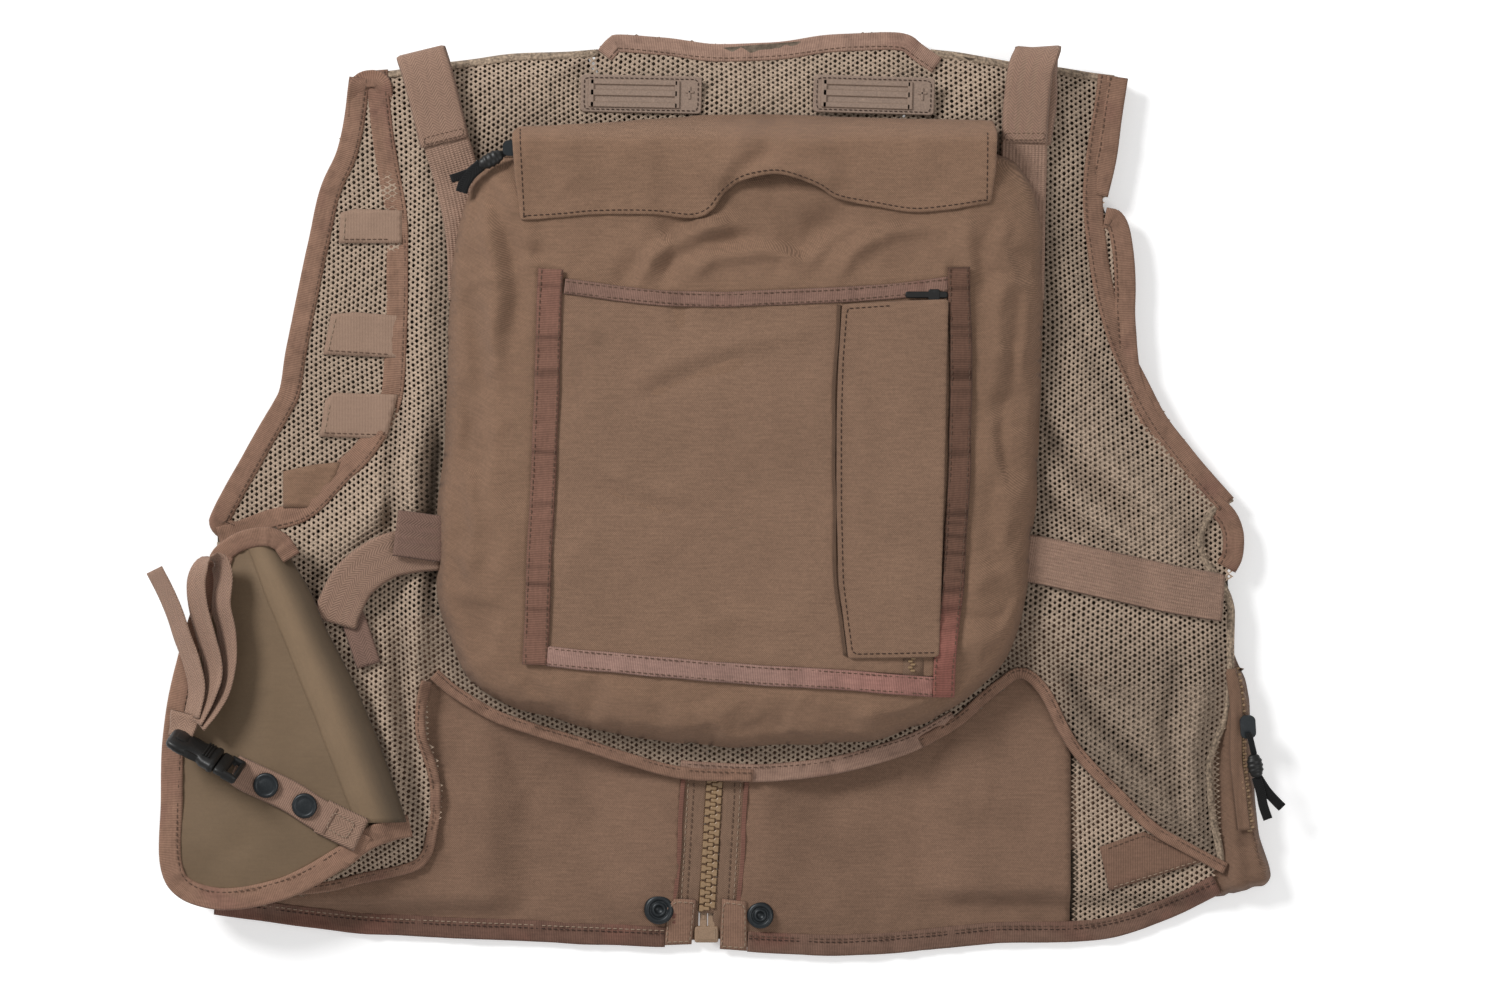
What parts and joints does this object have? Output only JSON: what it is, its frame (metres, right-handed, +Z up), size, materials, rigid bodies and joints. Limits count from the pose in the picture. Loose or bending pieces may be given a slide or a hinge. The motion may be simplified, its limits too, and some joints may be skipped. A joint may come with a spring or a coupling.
{
  "type": "fishing vest",
  "caption": "Mesh-backed twill vest lying face down and zipped, with a large back pouch, flap, framed pocket, webbing loops, folded side flap and side-release strap.",
  "frame": {"origin": "centre of the base of the bounding box, on the surface that the vest lies on", "axes": "+X towards the wearer's right, +Y towards the collar, +Z up through the back of the vest"},
  "size_m": [0.579, 0.4818, 0.0608],
  "materials": {
    "twill": "matt brown cotton twill",
    "mesh": "tan knitted mesh with diamond holes",
    "binding_tape": "folded and stitched brown tape",
    "faded_tape": "folded tape, faded to a pinkish tan",
    "webbing": "woven tan webbing",
    "patch": "stitched tan cloth patch",
    "padded_cloth": "smooth coated cloth over thin foam",
    "zip_chain": "moulded gold-brown teeth on woven tape",
    "zip_tape": "woven zip tape with a fine coil",
    "moulded_tab": "moulded tan rubber",
    "black_plastic": "satin black plastic and cord",
    "dark_metal": "dark enamelled metal"
  },
  "bodies": {
    "vest": {"front_twill_left": "twill", "front_twill_right": "twill", "cargo_pocket_left": "twill", "cargo_pocket_right": "twill", "pouch_front": "twill", "pouch_gusset": "twill", "pocket_front": "twill", "front_mesh_left": "mesh", "front_mesh_right": "mesh", "back_mesh": "mesh", "side_seam_left": "mesh", "side_seam_right": "mesh", "shoulder_seam_left": "mesh", "shoulder_seam_right": "mesh", "hem_binding_left": "binding_tape", "hem_binding_right": "binding_tape", "back_hem_binding": "binding_tape", "collar_binding": "binding_tape", "armhole_binding_left": "binding_tape", "armhole_binding_right": "binding_tape", "pocket_tape_left": "binding_tape", "pocket_tape_right": "binding_tape", "pocket_tape_top": "faded_tape", "pocket_tape_bottom": "faded_tape", "waist_strap_left": "webbing", "waist_strap_right": "webbing", "side_patch": "patch", "loop_patch_top": "patch", "loop_patch_middle": "patch", "loop_patch_bottom": "patch", "side_flap_base": "padded_cloth", "front_zip_half_left": "zip_chain", "front_zip_half_right": "zip_chain", "pouch_zip": "zip_tape", "pocket_zip": "zip_tape", "cargo_zip": "zip_tape", "lash_tab_left": "moulded_tab", "lash_tab_right": "moulded_tab", "hem_snap_left": "dark_metal", "hem_snap_right": "dark_metal"},
    "pouch_flap": {"pouch_flap": "twill"},
    "pouch_slider": {"pouch_zip_slider": "dark_metal"},
    "pouch_pull": {"pouch_zip_pull": "black_plastic"},
    "placket": {"placket_flap": "twill"},
    "pocket_slider": {"pocket_zip_slider": "black_plastic"},
    "front_slider": {"front_zip_slider": "zip_chain"},
    "front_pull": {"front_zip_pull": "black_plastic"},
    "cargo_slider": {"cargo_zip_slider": "dark_metal"},
    "cargo_pull": {"cargo_zip_pull": "black_plastic"},
    "side_flap": {"side_flap": "padded_cloth"},
    "buckle_tab": {"snap_tab": "webbing", "snap_cap_inner": "dark_metal", "snap_cap_outer": "dark_metal", "buckle_plug": "black_plastic"},
    "prong_left": {"buckle_prong_left": "black_plastic"},
    "prong_right": {"buckle_prong_right": "black_plastic"},
    "strap_end": {"buckle_socket": "black_plastic", "adjuster_strap": "webbing"},
    "loop_left": {"shoulder_loop_left": "webbing"},
    "loop_right": {"shoulder_loop_right": "webbing"}
  },
  "joints": [
    {"name": "pouch_flap_hinge", "type": "hinge", "parent": "vest", "child": "pouch_flap", "pos_m": [0.0175, 0.19544, 0.0258], "axis": [-1, 0, 0], "range_deg": [0, 80]},
    {"name": "pouch_zip_slide", "type": "slide", "parent": "vest", "child": "pouch_slider", "axis": [1, 0, 0], "range_m": [0, 0.236]},
    {"name": "pouch_pull_hinge", "type": "hinge", "parent": "pouch_slider", "child": "pouch_pull", "pos_m": [-0.113, 0.17694, 0.0425], "axis": [-0.4794, 0.8776, 0], "range_deg": [0, 80]},
    {"name": "placket_hinge", "type": "hinge", "parent": "vest", "child": "placket", "pos_m": [0.115, 0.00834, 0.0465], "axis": [0.019, 0.9998, 0], "range_deg": [0, 95]},
    {"name": "pocket_zip_slide", "type": "slide", "parent": "vest", "child": "pocket_slider", "axis": [-0.019, -0.9998, 0], "range_m": [0, 0.17]},
    {"name": "front_zip_slide", "type": "slide", "parent": "vest", "child": "front_slider", "axis": [-0.0599, -0.9982, 0], "range_m": [0, 0.3]},
    {"name": "front_pull_hinge", "type": "hinge", "parent": "front_slider", "child": "front_pull", "pos_m": [0.0121, 0.10873, 0.0054], "axis": [0.9982, -0.0599, 0], "range_deg": [-6, 80]},
    {"name": "cargo_zip_slide", "type": "slide", "parent": "vest", "child": "cargo_slider", "axis": [0.06, -0.9982, 0], "range_m": [-0.025, 0.044]},
    {"name": "cargo_pull_hinge", "type": "hinge", "parent": "cargo_slider", "child": "cargo_pull", "pos_m": [0.27416, -0.12166, 0.0253], "axis": [-0.9982, -0.06, 0], "range_deg": [0, 150]},
    {"name": "side_flap_hinge", "type": "hinge", "parent": "vest", "child": "side_flap", "pos_m": [-0.2005, -0.10016, 0.0292], "axis": [-0.4085, 0.9128, 0], "range_deg": [0, 90]},
    {"name": "buckle_tab_hinge", "type": "hinge", "parent": "side_flap", "child": "buckle_tab", "pos_m": [-0.1885, -0.17466, 0.036], "axis": [0.4695, 0.8829, 0], "range_deg": [0, 45]},
    {"name": "prong_left_hinge", "type": "hinge", "parent": "buckle_tab", "child": "prong_left", "pos_m": [-0.25985, -0.1393, 0.05416], "axis": [0.4289, 0.8066, 0.4067], "range_deg": [-8, 0], "stiffness_Nm_per_rad": 0.05},
    {"name": "prong_right_hinge", "type": "hinge", "parent": "buckle_tab", "child": "prong_right", "pos_m": [-0.25771, -0.13528, 0.04393], "axis": [0.4289, 0.8066, 0.4067], "range_deg": [0, 8], "stiffness_Nm_per_rad": 0.05},
    {"name": "buckle_slide", "type": "slide", "parent": "buckle_tab", "child": "strap_end", "axis": [-0.8829, 0.4695, 0], "range_m": [0, 0.03]},
    {"name": "loop_left_hinge", "type": "hinge", "parent": "vest", "child": "loop_left", "pos_m": [-0.1415, 0.17934, 0.0223], "axis": [0.9744, 0.225, 0], "range_deg": [0, 55]},
    {"name": "loop_right_hinge", "type": "hinge", "parent": "vest", "child": "loop_right", "pos_m": [0.1625, 0.17934, 0.0223], "axis": [0.9994, -0.0349, 0], "range_deg": [0, 55]}
  ],
  "couplings": [
    {"joint": "prong_right_hinge", "follows": "prong_left_hinge", "ratio": -1}
  ]
}
